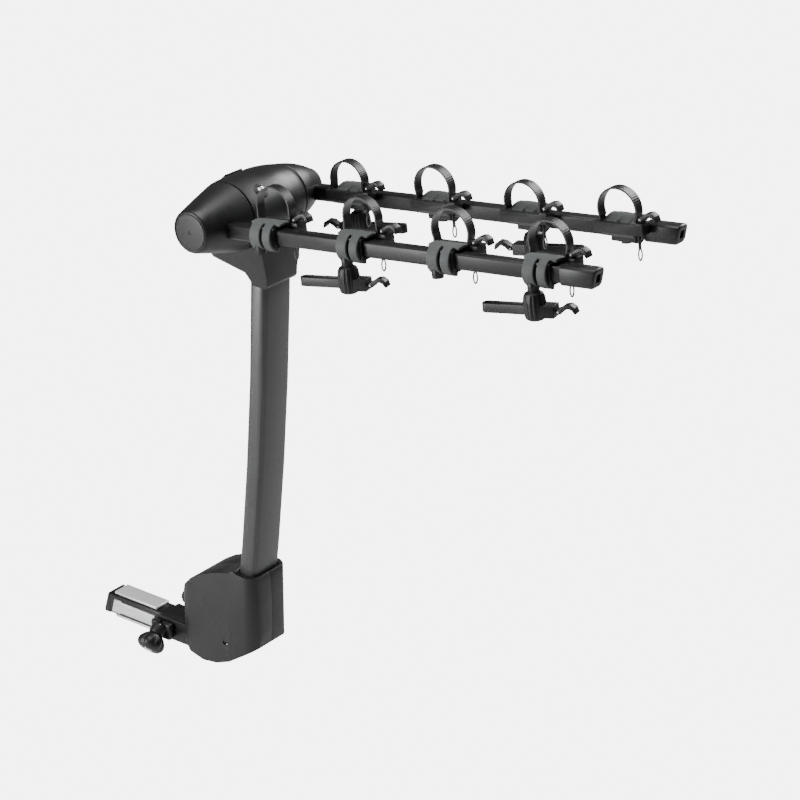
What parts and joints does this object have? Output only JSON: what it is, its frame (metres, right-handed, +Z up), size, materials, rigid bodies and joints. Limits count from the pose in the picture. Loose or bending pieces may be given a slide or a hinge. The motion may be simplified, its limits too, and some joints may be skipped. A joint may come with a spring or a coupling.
{
  "type": "hitch mounted bike rack",
  "caption": "Receiver-mounted bicycle carrier with a tilting mast, folding twin arms, rubber saddles with ratchet straps and swivelling anti-sway cages.",
  "frame": {"origin": "on the tongue's centre line, at the mouth of the car's receiver", "axes": "+X away from the car along the tongue, +Y to the car's right-hand side seen from behind, +Z up"},
  "size_m": [1.0861, 0.3038, 1.0071],
  "materials": {
    "satin_mast": "satin charcoal powder coat",
    "black_steel": "black powder coat",
    "moulded_plastic": "fine grained black nylon",
    "saddle_rubber": "grey rubber saddle on a black moulded body",
    "strap_rubber": "black ribbed strap",
    "zinc_steel": "bright zinc plate",
    "chrome_lock": "polished lock face"
  },
  "bodies": {
    "root": {"tongue_tube": "black_steel", "tongue_end_cap": "moulded_plastic", "upper_adapter_plate": "zinc_steel", "lower_adapter_plate": "zinc_steel", "base_bracket": "black_steel", "knob_housing": "moulded_plastic", "tilt_pivot_bolt": "zinc_steel"},
    "knob": {"tightening_knob": "moulded_plastic", "draw_bolt": "zinc_steel"},
    "knob_core": {"knob_lock_core": "chrome_lock"},
    "wedge": {"wedge_plate": "zinc_steel"},
    "mast": {"mast_tube": "satin_mast", "mast_foot": "black_steel", "shroud_near": "moulded_plastic", "shroud_far": "moulded_plastic", "head_bracket": "black_steel", "head_housing": "moulded_plastic"},
    "tilt_lever": {"tilt_release_lever": "moulded_plastic"},
    "fold_lever": {"fold_release_lever": "moulded_plastic"},
    "head_core": {"head_lock_core": "chrome_lock"},
    "arms": {"cross_shaft": "zinc_steel", "far_arm_cap": "moulded_plastic", "far_arm_hub": "moulded_plastic", "far_arm_tube": "black_steel", "far_cradle_1": "saddle_rubber", "far_cradle_2": "saddle_rubber", "far_cradle_3": "saddle_rubber", "far_cradle_4": "saddle_rubber", "far_strap_1": "strap_rubber", "far_strap_2": "strap_rubber", "far_strap_3": "strap_rubber", "far_strap_4": "strap_rubber", "near_arm_cap": "moulded_plastic", "near_arm_hub": "moulded_plastic", "near_arm_tube": "black_steel", "near_cradle_1": "saddle_rubber", "near_cradle_2": "saddle_rubber", "near_cradle_3": "saddle_rubber", "near_cradle_4": "saddle_rubber", "near_strap_1": "strap_rubber", "near_strap_2": "strap_rubber", "near_strap_3": "strap_rubber", "near_strap_4": "strap_rubber"},
    "far_latch_1": {"far_latch_1": "moulded_plastic"},
    "far_latch_2": {"far_latch_2": "moulded_plastic"},
    "far_latch_3": {"far_latch_3": "moulded_plastic"},
    "far_latch_4": {"far_latch_4": "moulded_plastic"},
    "far_sway_1": {"far_sway_cage_1": "moulded_plastic"},
    "far_sway_3": {"far_sway_cage_3": "moulded_plastic"},
    "far_sway_latch_1": {"far_sway_latch_1": "moulded_plastic"},
    "far_sway_latch_3": {"far_sway_latch_3": "moulded_plastic"},
    "near_latch_1": {"near_latch_1": "moulded_plastic"},
    "near_latch_2": {"near_latch_2": "moulded_plastic"},
    "near_latch_3": {"near_latch_3": "moulded_plastic"},
    "near_latch_4": {"near_latch_4": "moulded_plastic"},
    "near_sway_2": {"near_sway_cage_2": "moulded_plastic"},
    "near_sway_4": {"near_sway_cage_4": "moulded_plastic"},
    "near_sway_latch_2": {"near_sway_latch_2": "moulded_plastic"},
    "near_sway_latch_4": {"near_sway_latch_4": "moulded_plastic"}
  },
  "joints": [
    {"name": "mast_tilt", "type": "hinge", "parent": "root", "child": "mast", "pos_m": [0.139, 0, 0.042], "axis": [0, 1, 0], "range_deg": [0, 38]},
    {"name": "tilt_lever_lift", "type": "hinge", "parent": "mast", "child": "tilt_lever", "pos_m": [0.107, 0, 0.072], "axis": [0, 1, 0], "range_deg": [0, 25], "stiffness_Nm_per_rad": 0.4, "springref_deg": -17.19},
    {"name": "arm_fold", "type": "hinge", "parent": "mast", "child": "arms", "pos_m": [0.237, 0, 0.824], "axis": [0, 1, 0], "range_deg": [0, 95]},
    {"name": "fold_lever_lift", "type": "hinge", "parent": "mast", "child": "fold_lever", "pos_m": [0.17504, -0.006, 0.82616], "axis": [0, -1, 0], "range_deg": [0, 25], "stiffness_Nm_per_rad": 0.4, "springref_deg": -17.19},
    {"name": "head_key_turn", "type": "hinge", "parent": "mast", "child": "head_core", "pos_m": [0.237, -0.034, 0.824], "axis": [0.6947, 0, 0.7193], "range_deg": [0, 90]},
    {"name": "knob_turn", "type": "hinge", "parent": "root", "child": "knob", "pos_m": [0.028, -0.062, -0.014], "axis": [0, -0.7431, -0.6691], "range_deg": [0, 720]},
    {"name": "knob_key_turn", "type": "hinge", "parent": "knob", "child": "knob_core", "pos_m": [0.028, -0.062, -0.014], "axis": [0, -0.7431, -0.6691], "range_deg": [0, 90]},
    {"name": "wedge_push", "type": "slide", "parent": "root", "child": "wedge", "axis": [0, -1, 0], "range_m": [0, 0.0016]},
    {"name": "far_sway_1_swivel", "type": "hinge", "parent": "arms", "child": "far_sway_1", "pos_m": [0.35117, 0.122, 0.80548], "axis": [-0.1207, 0, 0.9927], "range_deg": [-90, 90]},
    {"name": "far_sway_3_swivel", "type": "hinge", "parent": "arms", "child": "far_sway_3", "pos_m": [0.68997, 0.122, 0.84666], "axis": [-0.1207, 0, 0.9927], "range_deg": [-90, 90]},
    {"name": "near_sway_2_swivel", "type": "hinge", "parent": "arms", "child": "near_sway_2", "pos_m": [0.52057, -0.122, 0.82607], "axis": [-0.1207, 0, 0.9927], "range_deg": [-90, 90]},
    {"name": "near_sway_4_swivel", "type": "hinge", "parent": "arms", "child": "near_sway_4", "pos_m": [0.85938, -0.122, 0.86725], "axis": [-0.1207, 0, 0.9927], "range_deg": [-90, 90]},
    {"name": "far_latch_1_lift", "type": "hinge", "parent": "arms", "child": "far_latch_1", "pos_m": [0.39641, 0.0897, 0.86255], "axis": [0, -1, 0], "range_deg": [0, 50], "stiffness_Nm_per_rad": 0.02, "springref_deg": -17.19},
    {"name": "far_latch_2_lift", "type": "hinge", "parent": "arms", "child": "far_latch_2", "pos_m": [0.56581, 0.0897, 0.88314], "axis": [0, -1, 0], "range_deg": [0, 50], "stiffness_Nm_per_rad": 0.02, "springref_deg": -17.19},
    {"name": "far_latch_3_lift", "type": "hinge", "parent": "arms", "child": "far_latch_3", "pos_m": [0.73522, 0.0897, 0.90373], "axis": [0, -1, 0], "range_deg": [0, 50], "stiffness_Nm_per_rad": 0.02, "springref_deg": -17.19},
    {"name": "far_latch_4_lift", "type": "hinge", "parent": "arms", "child": "far_latch_4", "pos_m": [0.90462, 0.0897, 0.92432], "axis": [0, -1, 0], "range_deg": [0, 50], "stiffness_Nm_per_rad": 0.02, "springref_deg": -17.19},
    {"name": "far_sway_latch_1_lift", "type": "hinge", "parent": "far_sway_1", "child": "far_sway_latch_1", "pos_m": [0.31745, 0.11406, 0.77317], "axis": [-0.2064, 0.9781, -0.0251], "range_deg": [0, 50], "stiffness_Nm_per_rad": 0.02, "springref_deg": -17.19},
    {"name": "far_sway_latch_3_lift", "type": "hinge", "parent": "far_sway_3", "child": "far_sway_latch_3", "pos_m": [0.65626, 0.11406, 0.81435], "axis": [-0.2064, 0.9781, -0.0251], "range_deg": [0, 50], "stiffness_Nm_per_rad": 0.02, "springref_deg": -17.19},
    {"name": "near_latch_1_lift", "type": "hinge", "parent": "arms", "child": "near_latch_1", "pos_m": [0.39641, -0.0897, 0.86255], "axis": [0, -1, 0], "range_deg": [0, 50], "stiffness_Nm_per_rad": 0.02, "springref_deg": -17.19},
    {"name": "near_latch_2_lift", "type": "hinge", "parent": "arms", "child": "near_latch_2", "pos_m": [0.56581, -0.0897, 0.88314], "axis": [0, -1, 0], "range_deg": [0, 50], "stiffness_Nm_per_rad": 0.02, "springref_deg": -17.19},
    {"name": "near_latch_3_lift", "type": "hinge", "parent": "arms", "child": "near_latch_3", "pos_m": [0.73522, -0.0897, 0.90373], "axis": [0, -1, 0], "range_deg": [0, 50], "stiffness_Nm_per_rad": 0.02, "springref_deg": -17.19},
    {"name": "near_latch_4_lift", "type": "hinge", "parent": "arms", "child": "near_latch_4", "pos_m": [0.90462, -0.0897, 0.92432], "axis": [0, -1, 0], "range_deg": [0, 50], "stiffness_Nm_per_rad": 0.02, "springref_deg": -17.19},
    {"name": "near_sway_latch_2_lift", "type": "hinge", "parent": "near_sway_2", "child": "near_sway_latch_2", "pos_m": [0.56104, -0.11406, 0.80278], "axis": [0.2064, -0.9781, 0.0251], "range_deg": [0, 50], "stiffness_Nm_per_rad": 0.02, "springref_deg": -17.19},
    {"name": "near_sway_latch_4_lift", "type": "hinge", "parent": "near_sway_4", "child": "near_sway_latch_4", "pos_m": [0.89985, -0.11406, 0.84396], "axis": [0.2064, -0.9781, 0.0251], "range_deg": [0, 50], "stiffness_Nm_per_rad": 0.02, "springref_deg": -17.19}
  ],
  "couplings": [
    {"joint": "wedge_push", "follows": "knob_turn", "m_per_rad": 0.00011141}
  ]
}
